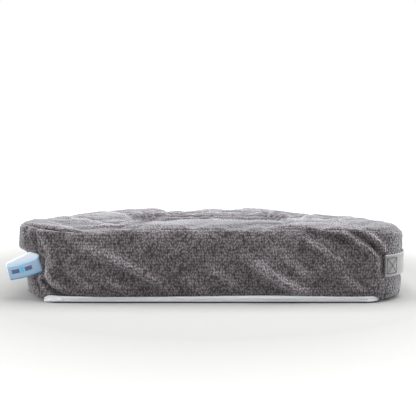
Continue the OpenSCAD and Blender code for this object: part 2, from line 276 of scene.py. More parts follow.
def woven_finish(name, dark, light, threads, roughness, depth, sheen=0.3, use_uv=False):
    """Plain weave: two crossing sets of threads, with a little fuzz."""
    mat, tree, shader = begin(name, roughness, Sheen_Weight=sheen, Specular_IOR_Level=0.2)
    if use_uv:
        source = add(tree, "UVMap").outputs[0]
    else:
        source = tree.nodes.new("ShaderNodeTexCoord").outputs["Object"]
    where = add(tree, "Mapping", Vector=source, Scale=(threads, threads, threads)).outputs[0]
    warp = add(tree, "TexWave", {"bands_direction": "X"}, Vector=where, Scale=1.0, Distortion=0.6)
    weft = add(tree, "TexWave", {"bands_direction": "Y" if use_uv else "Z"}, Vector=where, Scale=1.0,
               Distortion=0.6)
    fuzz = add(tree, "TexNoise", Vector=where, Scale=0.35, Detail=5.0)
    crossed = sum_of(tree, warp.outputs["Fac"], 0.5, weft.outputs["Fac"], 0.5)
    height = sum_of(tree, crossed, 0.7, fuzz.outputs["Fac"], 0.5)
    colour = ramp(tree, height, (0.25, dark), (0.85, light))
    tree.links.new(colour, shader.inputs["Base Color"])
    raise_surface(tree, shader, height, depth)
    return mat


def foam_finish(name, dark, light, cells):
    """Open cells, with painted shade in their mouths."""
    mat, tree, shader = begin(name, 0.9, Subsurface_Weight=0.15)
    where = placed(tree, (1, 1, 1))
    mouths = add(tree, "TexVoronoi", Vector=where, Scale=cells)
    tone = add(tree, "TexNoise", Vector=where, Scale=12.0, Detail=3.0)
    height = sum_of(tree, mouths.outputs["Distance"], 0.8, tone.outputs["Fac"], 0.3)
    # Painted shade: the cell mouths are darker.
    tree.links.new(ramp(tree, height, (0.15, dark), (0.6, light)), shader.inputs["Base Color"])
    raise_surface(tree, shader, height, 0.0008)
    return mat


def moulded_finish(name, colour, worn, roughness):
    """Smooth plastic or enamel, slightly mottled and scuffed."""
    mat, tree, shader = begin(name, roughness, Coat_Weight=0.25, Coat_Roughness=0.2)
    where = placed(tree, (1, 1, 1))
    scuffs = add(tree, "TexNoise", Vector=where, Scale=700.0, Detail=4.0).outputs["Fac"]
    tree.links.new(ramp(tree, scuffs, (0.35, worn), (0.6, colour)), shader.inputs["Base Color"])
    rough = add(tree, "MapRange", Value=scuffs, To_Min=roughness - 0.1, To_Max=roughness + 0.2)
    tree.links.new(rough.outputs[0], shader.inputs["Roughness"])
    raise_surface(tree, shader, scuffs, 0.00005)
    return mat


def strap_finish():
    """Brushed grey webbing: fine ribs; its rolled edges get a paler copy of the colour than its middle, a
    painted highlight where the edges catch the light.
    """
    mat, tree, shader = begin("strap_webbing", 0.85, Sheen_Weight=0.5, Specular_IOR_Level=0.2)
    where = placed(tree, (1, 1, 1))
    ribs = add(tree, "TexWave", {"bands_direction": "Z"}, Vector=where, Scale=230.0, Distortion=1.2)
    fuzz = add(tree, "TexNoise", Vector=where, Scale=420.0, Detail=5.0)
    height = sum_of(tree, ribs.outputs["Fac"], 0.35, fuzz.outputs["Fac"], 0.75)
    up = add(tree, "SeparateXYZ", Vector=where).outputs["Z"]
    off = maths(tree, "ABSOLUTE", maths(tree, "SUBTRACT", up, STRAP_Z))
    edge = add(tree, "MapRange", Value=off, From_Min=WEB_W / 2 - 3 * MM, From_Max=WEB_W / 2)
    # Painted highlight: the rolled edges get a paler copy of the webbing colour than the middle.
    middle = ramp(tree, height, (0.3, (0.075, 0.072, 0.074)), (0.8, (0.21, 0.205, 0.21)))
    painted_edge_highlight = ramp(tree, height, (0.3, (0.17, 0.167, 0.17)), (0.8, (0.35, 0.344, 0.35)))
    tree.links.new(mixed(tree, edge.outputs[0], middle, painted_edge_highlight), shader.inputs["Base Color"])
    raise_surface(tree, shader, height, 0.0006)
    return mat


def label_finish():
    """Satin ribbon with a row of plain woven bars along its middle; its front ply is painted darker and
    bluer than its back ply, as painted shade.
    """
    mat, tree, shader = begin("label_satin", 0.55, Sheen_Weight=0.3, Subsurface_Weight=0.2)
    uv = add(tree, "UVMap").outputs[0]
    ribs = add(tree, "TexWave", {"bands_direction": "Y"}, Vector=uv, Scale=260.0, Distortion=0.3)
    along, across = add(tree, "SeparateXYZ", Vector=uv).outputs[:2]

    def between(value, low, high):
        above = maths(tree, "GREATER_THAN", value, low)
        return maths(tree, "MULTIPLY", above, maths(tree, "LESS_THAN", value, high))

    # Painted shade: the front ply gets a darker, bluer copy of the satin colour than the back ply.
    cloth = ramp(tree, ribs.outputs["Fac"], (0.2, (0.16, 0.25, 0.36)), (0.8, (0.23, 0.33, 0.45)))
    back = ramp(tree, ribs.outputs["Fac"], (0.2, (0.50, 0.52, 0.56)), (0.8, (0.62, 0.64, 0.68)))
    colour = mixed(tree, between(along, -1, LABEL_FOLD), back, cloth)
    navy, blue = (0.02, 0.05, 0.14, 1), (0.02, 0.30, 0.52, 1)
    bars = ((16, 29, -2.5, 4.5, navy), (31, 37, -4.0, 6.0, blue), (39, 53, -2.5, 4.5, navy),
            (0, 58, -12.5, -11.0, blue), (0, 58, 11.3, 12.5, blue))
    for start, end, bottom, top, ink in bars:
        inside = maths(tree, "MULTIPLY", between(along, start * MM, end * MM),
                       between(across, bottom * MM, top * MM))
        colour = mixed(tree, inside, colour, ink)
    tree.links.new(colour, shader.inputs["Base Color"])
    raise_surface(tree, shader, ribs.outputs["Fac"], 0.0001)
    return mat


# ---- mesh helpers -----------------------------------------------------------------------
def new_object(name, bm):
    mesh = bpy.data.meshes.new(name)
    bm.normal_update()
    bm.to_mesh(mesh)
    bm.free()
    mesh.shade_smooth()
    obj = bpy.data.objects.new(name, mesh)
    scene.collection.objects.link(obj)
    return obj


def bake_modifiers(obj):
    """Puts the result of an object's modifiers into its mesh."""
    bpy.context.view_layer.update()
    evaluated = obj.evaluated_get(bpy.context.evaluated_depsgraph_get())
    old = obj.data
    obj.data = bpy.data.meshes.new_from_object(evaluated, preserve_all_data_layers=True,
                                               depsgraph=bpy.context.evaluated_depsgraph_get())
    obj.modifiers.clear()
    bpy.data.meshes.remove(old)


def subdivide(obj, levels=1):
    made = obj.modifiers.new("finer", "SUBSURF")
    made.levels = levels
    made.render_levels = levels
    bake_modifiers(obj)


def thicken(obj, thickness):
    made = obj.modifiers.new("cloth", "SOLIDIFY")
    made.thickness = thickness
    made.offset = -1
    made.use_even_offset = False
    bake_modifiers(obj)


def finish_piece(obj, body, material, nodes=()):
    obj.data.materials.clear()
    obj.data.materials.append(material)
    for polygon in obj.data.polygons:
        polygon.material_index = 0
    if body:
        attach(obj, body)
    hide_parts(*nodes)
    return obj


def next_ring(bm, ring, edges):
    """Draws a ring of edges out into a band of faces: the new ring, its edges and the new faces."""
    out = bmesh.ops.extrude_edge_only(bm, edges=edges)["geom"]
    fresh = {g for g in out if isinstance(g, bmesh.types.BMVert)}
    edges = [g for g in out if isinstance(g, bmesh.types.BMEdge) and fresh.issuperset(g.verts)]
    ring = [next(e.other_vert(v) for e in v.link_edges if e.other_vert(v) in fresh) for v in ring]
    return ring, edges, [g for g in out if isinstance(g, bmesh.types.BMFace)]


def sweep(bm, sections, closed=False):
    """Skins rings of points. The ends are filled, or joined to each other."""
    count = len(sections[0])
    ring = bmesh.ops.create_circle(bm, segments=count, radius=1)["verts"]
    for vert, co in zip(ring, sections[0]):
        vert.co = co
    edges = first = list(bm.edges)
    for section in sections[1:]:
        ring, edges, _ = next_ring(bm, ring, edges)
        for vert, co in zip(ring, section):
            vert.co = co
    if closed:
        bmesh.ops.bridge_loops(bm, edges=first + edges)
    else:
        bmesh.ops.edgeloop_fill(bm, edges=first)
        bmesh.ops.edgeloop_fill(bm, edges=edges)
    bmesh.ops.recalc_face_normals(bm, faces=bm.faces)


# ---- the cover's shape ------------------------------------------------------------------
def stations():
    """Places round the pad from the front left: how far along each straight, and the outward angle."""
    steps_x, steps_y, steps_seam, steps_rest = 84, 52, 7, 15
    spots = []

    def straight(count, start, end, angle):
        for i in range(count):
            t = i / count
            spots.append((start[0] + (end[0] - start[0]) * t, start[1] + (end[1] - start[1]) * t, angle))

    def turn(x, y, start, parts):
        angle = start
        for span, count in parts:
            for i in range(count):
                spots.append((x, y, angle + span * i / count))
            angle += span

    quarter = math.pi / 2
    seam = (SEAM_ANGLE, steps_seam)
    rest = (quarter - SEAM_ANGLE, steps_rest)
    straight(steps_x, (-1, -1), (1, -1), -quarter)
    turn(1, -1, -quarter, (seam, rest))
    straight(steps_y, (1, -1), (1, 1), 0)
    turn(1, 1, 0, ((quarter, steps_seam + steps_rest),))
    straight(steps_x, (1, 1), (-1, 1), quarter)
    turn(-1, 1, quarter, ((quarter, steps_seam + steps_rest),))
    straight(steps_y, (-1, 1), (-1, -1), 2 * quarter)
    turn(-1, -1, 2 * quarter, (rest, seam))
    return spots


def around(spot, straight_x, straight_y, radius, z):
    """The place of a spot on a rounded rectangle with these half straights and corner radius."""
    ax, ay, a = spot
    return Vector((ax * straight_x + radius * math.cos(a), ay * straight_y + radius * math.sin(a), z))


def rings():
    """The cover's rings from the well's middle out and down: straights, radius, height, part."""
    made = []
    floor_steps, wall_steps, flat_steps, edge_steps, side_steps = 14, 8, 30, 5, 19
    slit = 0.55
    for i in range(floor_steps):
        t = i / floor_steps
        made.append((WELL_X * (slit + (1 - slit) * t), WELL_Y * t, (WELL_R - WELL_SOFT) * t, WELL_FLOOR,
                     WELL_DISH))
    for i in range(wall_steps + 1):
        t = i / wall_steps
        out = WELL_SOFT * (2 * t - 1)
        z = WELL_FLOOR + (TOP - WELL_FLOOR) * smooth(t, 0, 1)
        made.append((WELL_X, WELL_Y, WELL_R + out, z, WELL_DISH if t < 0.8 else TOP_PANEL))
    for i in range(1, flat_steps + 1):
        t = i / flat_steps
        r = WELL_R + WELL_SOFT
        made.append((WELL_X + (STRAIGHT_X - WELL_X) * t, WELL_Y + (STRAIGHT_Y - WELL_Y) * t,
                     r + (CORNER - EDGE_R - r) * t, TOP, TOP_PANEL))
    for i in range(1, edge_steps + 1):
        a = math.pi / 2 * i / edge_steps
        made.append((STRAIGHT_X, STRAIGHT_Y, CORNER - EDGE_R * (1 - math.sin(a)),
                     TOP - EDGE_R * (1 - math.cos(a)), TOP_PANEL if i < 3 else FRONT_BAND))
    for i in range(1, side_steps + 1):
        t = i / side_steps
        made.append((STRAIGHT_X, STRAIGHT_Y, CORNER, TOP - EDGE_R - (TOP - EDGE_R) * t, FRONT_BAND))
    return made


def run_round(co):
    """Distance round the outline from the middle of the front, positive to the right."""
    side = 1 if co.x >= 0 else -1
    x, y = abs(co.x), co.y
    if y < -STRAIGHT_Y:
        if x < STRAIGHT_X:
            return side * x
        return side * (STRAIGHT_X + CORNER * math.atan2(x - STRAIGHT_X, -STRAIGHT_Y - y))
    if y <= STRAIGHT_Y:
        return side * (STRAIGHT_X + CORNER_RUN + y + STRAIGHT_Y)
    past = STRAIGHT_X + CORNER_RUN + 2 * STRAIGHT_Y
    if x > STRAIGHT_X:
        return side * (past + CORNER * math.atan2(y - STRAIGHT_Y, x - STRAIGHT_X))
    return side * (past + CORNER_RUN + STRAIGHT_X - x)


def hem_height(s):
    """Height of the cover's bottom edge: over the zip at the front, near the floor elsewhere."""
    raised = 1.2 * MM * (1 - smooth(s, -232 * MM, -190 * MM)) if s < 0 else 0
    raised += 2.6 * MM * bump(s, 85 * MM, 130 * MM)
    return BASE + (HEM + raised - BASE) * (1 - smooth(abs(s), HEM_HALF, SEAM_S)) + corner_lift(s)


def corner_lift(s):
    """The four corners curl a little off the floor."""
    lift = (9.0 if -STRAIGHT_X - CORNER_RUN - STRAIGHT_Y < s < 0 else 5.5) * MM
    front = STRAIGHT_X + 0.55 * CORNER_RUN
    rear = front + CORNER_RUN + 2 * STRAIGHT_Y
    return lift * (bump(abs(s), front, 45 * MM) + bump(abs(s), rear, 45 * MM))


# Folds of the side bands: points (distance round, height), width and height of the fold, in mm
FOLDS = [
    ([(-232, 99), (-188, 84), (-149, 67), (-112, 50), (-92, 37), (-64, 20)], 8, 6.5),
    ([(-212, 55), (-178, 39), (-157, 29), (-140, 18)], 7, 5.2),
    ([(-246, 62), (-215, 36), (-196, 20)], 7, 3.9),
    ([(-60, 48), (-42, 36), (-8, 16)], 7, 4.5),
    ([(-8, 60), (20, 42), (48, 20)], 8, 3.4),
    ([(52, 76), (90, 56), (115, 39), (143, 24), (166, 15)], 8, 10.4),
    ([(92, 92), (130, 68), (168, 40)], 9, 3.9),
    ([(150, 106), (186, 88), (214, 70)], 7, 4.5),
    ([(150, 117), (190, 112), (236, 100)], 7, -5.2),
    ([(205, 60), (236, 34), (250, 20)], 9, 3.2),
    ([(222, 117), (240, 105), (262, 92), (276, 80)], 6, 6.5),
    ([(228, 122), (252, 110), (273, 96), (290, 82)], 5.5, -11.1),
    ([(258, 119), (272, 108), (288, 92), (296, 82)], 5.5, 7.8),
    ([(-306, 46), (-301, 28), (-288, 12)], 3.5, -7.8),
    ([(-294, 50), (-282, 30), (-262, 16), (-246, 12)], 4, -9.1),
    ([(-286, 62), (-268, 36), (-244, 20)], 5, 8.0),
    ([(-300, 52), (-292, 32), (-274, 18)], 4, 8.0),
    ([(-286, 116), (-280, 98), (-268, 84)], 5.5, 3.2),
    ([(-302, 126), (-304, 108), (-300, 92)], 3.5, -3.9),
    ([(-318, 126), (-318, 108), (-312, 92)], 4.5, -3.9),
    ([(-262, 112), (-246, 98), (-226, 92)], 6, -3.2),
]


# Creases of the top panel: points (x, y), width and height, in mm
TOP_CREASES = [
    ([(-315, -10), (-238, -108), (-180, -166)], 6, 5.5),
    ([(-296, 20), (-222, -92), (-166, -150)], 7, -5.0),
    ([(-278, 170), (-200, 40), (-128, -84)], 7, 5.0),
    ([(-250, 190), (-180, 60), (-140, 0)], 8, -4.5),
    ([(-300, -176), (-262, -190), (-236, -206)], 5, 5.5),
    ([(-244, -158), (-206, -176), (-176, -178)], 4, 4.5),
    ([(-196, -180), (-160, -186), (-120, -182)], 4, 4.5),
    ([(-150, -196), (-112, -200), (-70, -194)], 4, 4.0),
    ([(-165, -108), (-90, -104), (-14, -106), (60, -112)], 4, 4.0),
    ([(0, -150), (34, -158), (52, -176)], 4, 3.5),
    ([(-215, 206), (-100, 212), (60, 213), (210, 204)], 7, 4.5),
    ([(-150, 112), (0, 118), (150, 110)], 6, 5.0),
    ([(-130, 150), (20, 158), (170, 148)], 6, 3.5),
    ([(150, -84), (196, -20), (246, 74)], 6, 5.5),
    ([(176, -110), (232, -40), (290, 34)], 6, -5.0),
    ([(186, -132), (250, -80), (312, -10)], 6, 5.0),
    ([(150, -60), (186, 10), (222, 96)], 7, -5.0),
    ([(120, -140), (210, -128), (300, -96)], 5, 4.0),
]


def fold_height(folds, across, up):
    """Height of a list of given folds at one place."""
    total = 0.0
    x, y = across / MM, up / MM
    reach = 40
    for points, width, height in folds:
        left, right = sorted((points[0][0], points[-1][0]))
        if not left - reach < x < right + reach:
            continue
        nearest, along = 1e9, 0.0
        count = len(points) - 1
        for i in range(count):
            (ax, ay), (bx, by) = points[i], points[i + 1]
            dx, dy = bx - ax, by - ay
            t = min(1.0, max(0.0, ((x - ax) * dx + (y - ay) * dy) / (dx * dx + dy * dy)))
            gap = math.hypot(x - ax - t * dx, y - ay - t * dy)
            if gap < nearest:
                nearest, along = gap, (i + t) / count
        fade = smooth(along, -0.05, 0.3) * (1 - 0.8 * smooth(along, 0.75, 1.05))
        total += height * MM * math.exp(-((nearest / width) ** 2)) * (0.25 + 0.75 * fade)
    return total


def drag_lines(s, z):
    """Soft slanting drag lines everywhere on the bands, from uneven tension."""
    lean = Vector((s * 9 + z * 11, (z * 9 - s * 4.5) * 2.6, 3.7))
    fine = Vector((s * 22 + z * 26, (z * 22 - s * 12) * 2.4, 9.1))
    return noise.noise(lean) * 4.5 * MM + noise.noise(fine) * 1.8 * MM


def strap_hold(s, z):
    """1 where the sewn strap ends hold the cover against the foam, 0 away from them."""
    front = STRAIGHT_X + CORNER * math.radians(37)
    rear = STRAIGHT_X + CORNER_RUN * 2 + 2 * STRAIGHT_Y - CORNER * math.radians(37)
    near = max(bump(s, front, 26 * MM), bump(s, rear, 26 * MM))
    return min(1.0, 1.25 * near * bump(z, STRAP_Z, 30 * MM))


def strap_edge(s, z):
    """The dent along the turned-in end of the sewn strap."""
    end = STRAIGHT_X + CORNER * SEWN_FROM - 4 * MM
    return -4.5 * MM * bump(s, end, 5 * MM) * smooth(z, STRAP_Z - 26 * MM, STRAP_Z - 16 * MM) * (
        1 - smooth(z, STRAP_Z + 14 * MM, STRAP_Z + 24 * MM))


def label_pinch(s, z):
    """The label's seam is drawn in, with an ear of cloth bulging over it."""
    off = s + SEAM_S + 8 * MM
    wide = 24 * MM if off > 0 else 125 * MM
    pinch = bump(off, 0, wide) * smooth(z, 34 * MM, 54 * MM) * (1 - smooth(z, 72 * MM, 80 * MM))
    ear = bump(off, -14 * MM, 44 * MM) * smooth(z, 72 * MM, 80 * MM)
    waist = bump(off, -30 * MM, 40 * MM) * (1 - smooth(z, 50 * MM, 70 * MM)) * smooth(z, 22 * MM, 34 * MM)
    under = bump(s, -STRAIGHT_X - 0.8 * CORNER_RUN, 70 * MM) * (1 - smooth(z, 2 * MM, 52 * MM))
    return (-19 * pinch + 3.5 * ear - 3 * waist - 13 * under) * MM


def settle(x, y):
    """How the top rises and sags: a crown at the front, a high left ear, a low right rear."""
    lift = 6.0 * bump(y, -170 * MM, 90 * MM) * bump(x, 60 * MM, 190 * MM)
    lift += 10.5 * bump(x, -328 * MM, 56 * MM) * bump(y, -190 * MM, 74 * MM)
    lift -= 3.0 * smooth(y, 60 * MM, 215 * MM)
    lift -= 12.0 * smooth(x, 110 * MM, 330 * MM) * smooth(y, -190 * MM, 210 * MM)
    lift -= 8.0 * smooth(-x, 200 * MM, 330 * MM) * smooth(y, -130 * MM, 200 * MM)
    return lift * MM


def gathers(x, y):
    """Pleats that run out from the well's corners, and small puckers along its edge."""
    total = 0.0
    for cx in (-WELL_X, WELL_X):
        for cy in (-WELL_Y, WELL_Y):
            dx, dy = x - cx, y - cy
            if dx * cx < 0 or dy * cy < 0:
                continue
            r, a = math.hypot(dx, dy), math.atan2(dy, dx)
            wave = math.sin(a * 15 + 2.2 * noise.noise(Vector((r * 20, a, cx * 10))))
            reach = smooth(r, 16 * MM, 40 * MM) * (1 - smooth(r, 52 * MM, 150 * MM))
            total += 3.2 * MM * wave * reach
    edge = max(abs(x) - WELL_X, abs(y) - WELL_Y) - WELL_R
    ripple = noise.noise(Vector((x * 62, y * 62, 4.4)))
    total += 2.4 * MM * ripple * bump(edge, 8 * MM, 18 * MM)
    return total


def top_creases(x, y):
    """Long shallow creases over the top panel."""
    lean = Vector((x * 7 + y * 5, (y - x * 0.25) * 26, 1.3))
    return (noise.noise(lean) * 3.6 + noise.noise(lean * 2.7) * 1.5) * MM


def side_push(s, z, share):
    """How far the side bands stand out at one place, and how much of that is a fold."""
    hold = strap_hold(s, z)
    folds = fold_height(FOLDS, s, z)
    side = folds + drag_lines(s, z) * (0.35 + 0.65 * smooth(z, 0, 26 * MM))
    front = 1 - smooth(abs(s), STRAIGHT_X - 60 * MM, STRAIGHT_X + 40 * MM)
    side += (3.0 * front - 1.5) * MM * bump(z, 0.6 * TOP, 0.42 * TOP)
    side = max(side * (1 - hold) + strap_edge(s, z), -6 * MM)
    pinch = label_pinch(s, z)
    push = share * (side + pinch)
    room = (2.4 + 3.6 * smooth(z, 22 * MM, 34 * MM) + 14 * smooth(z, 44 * MM, 56 * MM)) * MM
    if abs(s) < SEAM_S:
        push *= 1 - 0.9 * (1 - smooth(z, 8 * MM, 22 * MM))
        push -= share * 2.2 * MM * (1 - smooth(z, HEM, HEM + 9 * MM))
        deepest = min(-room, pinch)
    else:
        push -= share * 6 * MM * (1 - smooth(z, 0, 15 * MM)) ** 2
        deepest = min(-room, pinch - room / 2)
    return max(push, deepest), share * (0.35 * side + 0.65 * folds * (1 - hold))


def top_rise(x, y, z):
    """How far the top and the well rise at one place, and how much of that is a fold."""
    inside = smooth(z, WELL_FLOOR, TOP)
    pleats, long, small = gathers(x, y), fold_height(TOP_CREASES, x, y), 1.3 * top_creases(x, y)
    sag = noise.noise(Vector((x * 18, y * 18, 7))) * 1.8 * MM
    rise = inside * (pleats + long + small) + (1 - inside) * sag
    return rise, inside * 1.8 * (pleats + long + 0.5 * small)


def shape_cover(bm, relief):
    """Moves the cover from the plain form to the settled, folded one, and notes how high each fold is."""
    bm.normal_update()
    moves = []
    for vert in bm.verts:
        co, normal = vert.co, vert.normal
        outer = max(abs(co.x) - STRAIGHT_X, abs(co.y) - STRAIGHT_Y)
        corner_in = math.hypot(max(0, abs(co.x) - STRAIGHT_X), max(0, abs(co.y) - STRAIGHT_Y))
        on_side = smooth(max(outer, corner_in) if outer > 0 else 0, CORNER - EDGE_R, CORNER - 3 * MM)
        push, rise, fold = 0.0, settle(co.x, co.y) * smooth(co.z, 0, TOP), 0.0
        if on_side > 0:
            push, fold = side_push(run_round(co), co.z, on_side)
        if co.z > WELL_FLOOR - MM:
            top, top_fold = top_rise(co.x, co.y, co.z)
            rise += (1 - on_side) * top
            fold += (1 - on_side) * top_fold
        # The fold height kept here drives the plush's painted fold shade and highlight.
        vert[relief] = fold / MM
        moves.append(Vector((normal.x, normal.y, 0.25 * normal.z)) * push + Vector((0, 0, rise)))
    for vert, move in zip(bm.verts, moves):
        vert.co += move


def plain_cover():
    """The cover as one sheet of rings, before any fold, with each face marked with its part."""
    bm = bmesh.new()
    spots, profile = stations(), rings()
    place = bm.verts.layers.float_vector.new("rest_place")
    order = bm.verts.layers.float.new("ring")
    relief = bm.verts.layers.float.new("relief")
    ring = bmesh.ops.create_circle(bm, segments=len(spots), radius=1)["verts"]
    edges = list(bm.edges)
    for index, (sx, sy, r, z, part) in enumerate(profile):
        if index:
            ring, edges, faces = next_ring(bm, ring, edges)
            for face in faces:
                face.material_index = part
        for vert, spot in zip(ring, spots):
            co = around(spot, sx, sy, r, z)
            if z < TOP - EDGE_R - 0.1 * MM and part == FRONT_BAND:
                bottom = hem_height(run_round(co))
                co.z = TOP - EDGE_R - (TOP - EDGE_R - bottom) * (TOP - EDGE_R - z) / (TOP - EDGE_R)
            vert.co = co
            vert[place] = co
            vert[order] = index
    underside = bmesh.ops.edgeloop_fill(bm, edges=edges)["faces"]
    for face in underside:
        face.material_index = UNDERSIDE
    bmesh.ops.remove_doubles(bm, verts=bm.verts, dist=0.02 * MM)
    bmesh.ops.recalc_face_normals(bm, faces=bm.faces)
    for face in bm.faces:
        if face.material_index == FRONT_BAND:
            middle = face.calc_center_median()
            if abs(run_round(middle)) > SEAM_S:
                face.material_index = REAR_BAND
    return bm, relief


def held_by(co, ring, last):
    """How firmly seams, hem, label, strap and floor hold the cloth at one place, from 0 to 1."""
    s = run_round(co)
    holds = [1 - smooth(ring, 3, 10), 0.5 * bump(ring, SEAM_RING, 0.8), 0.9 * bump(ring, WELL_RING, 1.2)]
    if ring > last - 1.5:
        holds.append(1.0)
    if co.z < TOP - EDGE_R:
        holds.append(strap_hold(s, co.z))
        holds.append(0.9 * bump(s, -SEAM_S, 16 * MM) * bump(co.z, LABEL_Z, 24 * MM))
        holds.append(0.7 * bump(abs(s), SEAM_S, 5 * MM))
        holds.append(1 - smooth(co.z, HEM + 9 * MM, HEM + 46 * MM))
    if ring < WELL_RING:
        holds.append(0.8 * (1 - smooth(co.z, WELL_FLOOR + MM, WELL_FLOOR + 8 * MM)))
    return max(holds)


def puff(obj, frames=14, pressure=1.4, loose=0.03, cap=5 * MM):
    """Lets the loose cloth find its own puckers, and keeps every point within a cap of where it started."""
    group = obj.vertex_groups.new(name="held")
    start = [v.co.copy() for v in obj.data.vertices]
    places = [Vector(item.vector) for item in obj.data.attributes["rest_place"].data]
    order = [item.value for item in obj.data.attributes["ring"].data]
    last = max(order)
    holds = [held_by(co, ring, last) for co, ring in zip(places, order)]
    for i, hold in enumerate(holds):
        group.add([i], hold, "REPLACE")
    cloth = obj.modifiers.new("cloth", "CLOTH")
    settings = cloth.settings
    settings.quality = 6
    settings.mass = 0.35
    settings.tension_stiffness = 18
    settings.compression_stiffness = 18
    settings.shear_stiffness = 6
    settings.bending_stiffness = 1.2
    settings.air_damping = 4
    settings.use_pressure = True
    settings.uniform_pressure_force = pressure
    settings.shrink_min = -loose
    settings.vertex_group_mass = "held"
    settings.pin_stiffness = 2
    settings.effector_weights.gravity = 0
    cloth.collision_settings.use_collision = False
    cloth.point_cache.frame_start = 1
    cloth.point_cache.frame_end = frames
    for number in range(1, frames + 1):
        scene.frame_set(number)
    bake_modifiers(obj)
    scene.frame_set(1)
    for vert, old, hold in zip(obj.data.vertices, start, holds):
        move = vert.co - old
        if move.length > 1e-9:
            vert.co = old + move * ((1 - hold) * math.tanh(move.length / cap) * cap / move.length)


def groove(distance, width, depth):
    return -depth * math.exp(-((distance / width) ** 2))


def tuft_height(co):
    """Height of the looped pile at a place: rounded tufts with a little wander."""
    p = Vector((co.x, co.y, co.z * 0.7)) / (4.2 * MM)
    near = noise.voronoi(p, distance_metric="DISTANCE", exponent=2.5)[0]
    return (0.45 - near[0]) * 0.55 * MM + noise.noise(p * 2.1) * 0.2 * MM


def raise_pile(obj, share=1.0):
    """Pushes the pile and the seam grooves into the surface."""
    places = obj.data.attributes["rest_place"].data
    order = obj.data.attributes["ring"].data
    outward = obj.data.attributes["outward"].data
    for vert in obj.data.vertices:
        normal = Vector(outward[vert.index].vector)
        co = Vector(places[vert.index].vector)
        ring = order[vert.index].value
        s = run_round(co)
        top_gap = abs(ring - SEAM_RING) * 4.4 * MM
        well_gap = abs(ring - WELL_RING) * 3.2 * MM
        side_gap = abs(abs(s) - SEAM_S) if ring > SEAM_RING else 1.0
        seam = min(top_gap, well_gap, side_gap)
        deep = 0.4 + 2.2 * smooth(-s, 150 * MM, 230 * MM) * (1 - smooth(-s, 300 * MM, 380 * MM))
        move = tuft_height(co) * share * smooth(seam, 0.5 * MM, 4 * MM)
        move += groove(top_gap, 2.6 * MM, deep * MM) + groove(well_gap, 3 * MM, 1.6 * MM)
        move += groove(side_gap, 3 * MM, (1.4 if s < 0 else 0.2) * MM)
        if ring > SEAM_RING:
            move *= 1 - 0.8 * strap_hold(s, co.z)
        vert.co += normal * move


def only_part(source, part, name):
    bm = bmesh.new()
    bm.from_mesh(source.data)
    bmesh.ops.delete(bm, geom=[f for f in bm.faces if f.material_index != part], context="FACES")
    return new_object(name, bm)


def make_cover(plush, liner, elastic):
    bm, relief = plain_cover()
    shape_cover(bm, relief)
    whole = new_object("cover_in_one", bm)
    puff(whole)
    free, give = 6.5 * MM, 4 * MM
    for vert in whole.data.vertices:
        over = vert.co.z - TOP - free
        if over > 0:
            vert.co.z = TOP + free + give * math.tanh(over / give)
    bm = bmesh.new()
    bm.from_mesh(whole.data)
    bmesh.ops.delete(bm, geom=[f for f in bm.faces if f.material_index == UNDERSIDE], context="FACES_ONLY")
    bm.to_mesh(whole.data)
    bm.free()
    make_upper_liner(whole, liner)
    make_elastic(whole, elastic)
    subdivide(whole)
    outward = whole.data.attributes.new("outward", "FLOAT_VECTOR", "POINT")
    for vert in whole.data.vertices:
        outward.data[vert.index].vector = vert.normal
    ring_area = 4 * HALF_W * HALF_D - 4 * (WELL_X + WELL_R) * (WELL_Y + WELL_R)
    round_rear = 2 * (STRAIGHT_X + 2 * STRAIGHT_Y + 2 * CORNER_RUN) + 2 * (STRAIGHT_X - SEAM_S)
    cuts = [
        (TOP_PANEL, "plush_top_panel", "cover_top", (2 * HALF_W, 2 * HALF_D), ring_area, 0),
        (WELL_DISH, "plush_well", "cover_well", (0.32, 0.19), None, 0),
        (FRONT_BAND, "plush_front_band", "cover_front_band", (2 * SEAM_S, TOP - HEM), None, 1),
        (REAR_BAND, "plush_rear_band", "cover_rear_band", (round_rear, TOP), None, 0),
    ]
    for part, name, node, flat, area, finer in cuts:
        piece = only_part(whole, part, name)
        if finer:
            subdivide(piece)
        raise_pile(piece)
        thicken(piece, PLUSH)
        finish_piece(piece, "pad", plush, [node])
    bpy.data.objects.remove(whole)


# ---- pieces that keep the frame's form, with softened edges ------------------------------
def softened(node, name, body, material, width, segments=2, angle=35):
    """A copy of a plain piece with its sharp edges rounded over."""
    bm = bmesh.new()
    bm.from_mesh(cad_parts[node].data)
    bmesh.ops.remove_doubles(bm, verts=bm.verts, dist=0.005 * MM)
    bmesh.ops.dissolve_limit(bm, angle_limit=math.radians(1), verts=bm.verts, edges=bm.edges)
    sharp = [e for e in bm.edges if len(e.link_faces) == 2 and e.calc_face_angle() > math.radians(angle)]
    bmesh.ops.bevel(bm, geom=sharp, offset=width, segments=segments, profile=0.5, affect="EDGES",
                    material=-1, clamp_overlap=True)
    bmesh.ops.triangulate(bm, faces=[f for f in bm.faces if len(f.verts) > 4])
    obj = new_object(name, bm)
    obj.data.set_sharp_from_angle(angle=math.radians(40))
    return finish_piece(obj, body, material, [node])


def follow(co):
    """Where a point inside the cover goes, as the cover settles and is drawn in at the label."""
    dx = math.copysign(max(0.0, abs(co.x) - STRAIGHT_X), co.x)
    dy = math.copysign(max(0.0, abs(co.y) - STRAIGHT_Y), co.y)
    out = Vector((dx, dy, 0))
    push = label_pinch(run_round(co), co.z) * smooth(out.length, 20 * MM, 68 * MM)
    rise = (settle(co.x, co.y) + 1.5 * min(0.0, settle(co.x, co.y))) * smooth(co.z, 0, TOP) / 1.6
    low_corner = smooth(out.length, 35 * MM, 76 * MM) * (1 - smooth(co.z, 20 * MM, 60 * MM))
    rise += corner_lift(run_round(co)) * low_corner
    if out.length > 1e-6:
        co = co + out.normalized() * push
    return co + Vector((0, 0, rise))


